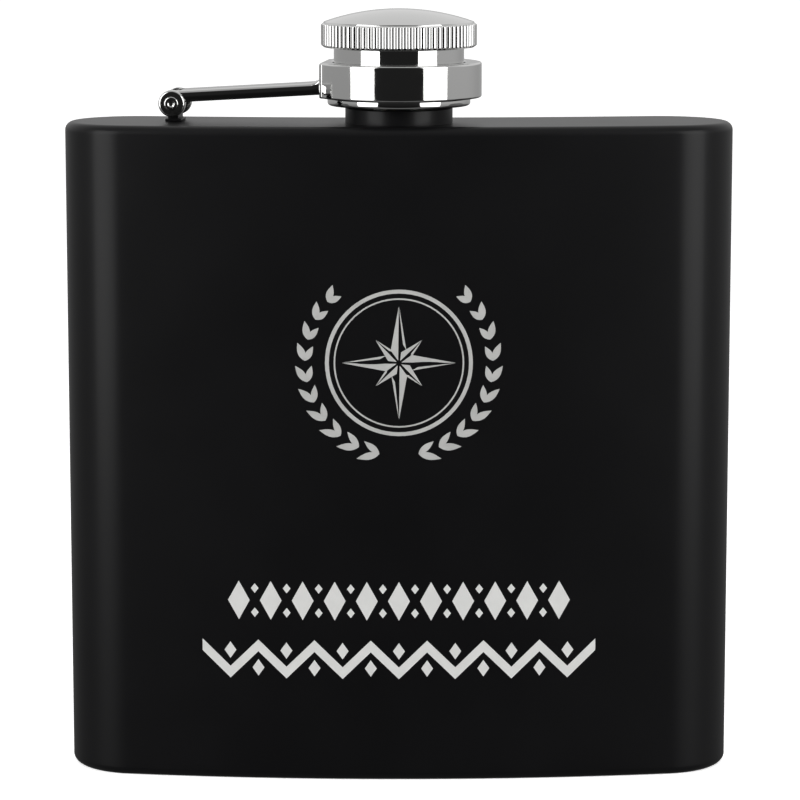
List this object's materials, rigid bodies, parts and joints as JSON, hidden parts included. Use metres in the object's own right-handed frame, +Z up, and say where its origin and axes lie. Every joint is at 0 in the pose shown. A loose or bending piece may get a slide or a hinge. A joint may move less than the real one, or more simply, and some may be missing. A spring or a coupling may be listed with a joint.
{
  "type": "hip flask",
  "caption": "Flat curved pocket bottle in satin black coated steel, with a knurled metal screw cap held captive in the ring of a hinged strap.",
  "frame": {"origin": "middle of the base, under the middle of the whole flask", "axes": "+Z up to the cap, +X along the flask's width away from the hinge, -Y out of the convex front"},
  "size_m": [0.095, 0.0246, 0.1093],
  "materials": {
    "black_powder_coat": "satin",
    "polished_steel": "polished",
    "liner_plastic": "matte",
    "gasket_silicone": "matte"
  },
  "bodies": {
    "flask": {"body_wrap": "black_powder_coat", "top_plate": "black_powder_coat", "bottom_plate": "black_powder_coat", "neck": "black_powder_coat", "hinge_lug": "black_powder_coat"},
    "strap": {"strap_arm": "polished_steel", "strap_ring": "polished_steel", "hinge_pin": "polished_steel"},
    "cap": {"cap_shell": "polished_steel", "cap_retaining_ring": "polished_steel", "cap_liner": "liner_plastic", "cap_gasket": "gasket_silicone"}
  },
  "joints": [
    {"name": "strap_swing", "type": "hinge", "parent": "flask", "child": "strap", "pos_m": [-0.03182, 0.00272, 0.0959], "axis": [-0.1045, -0.9945, 0], "range_deg": [0, 175]},
    {"name": "cap_spin", "type": "hinge", "parent": "strap", "child": "cap", "pos_m": [0, -0.00062, 0.1013], "axis": [0, 0, 1], "range_deg": [0, 540]}
  ]
}
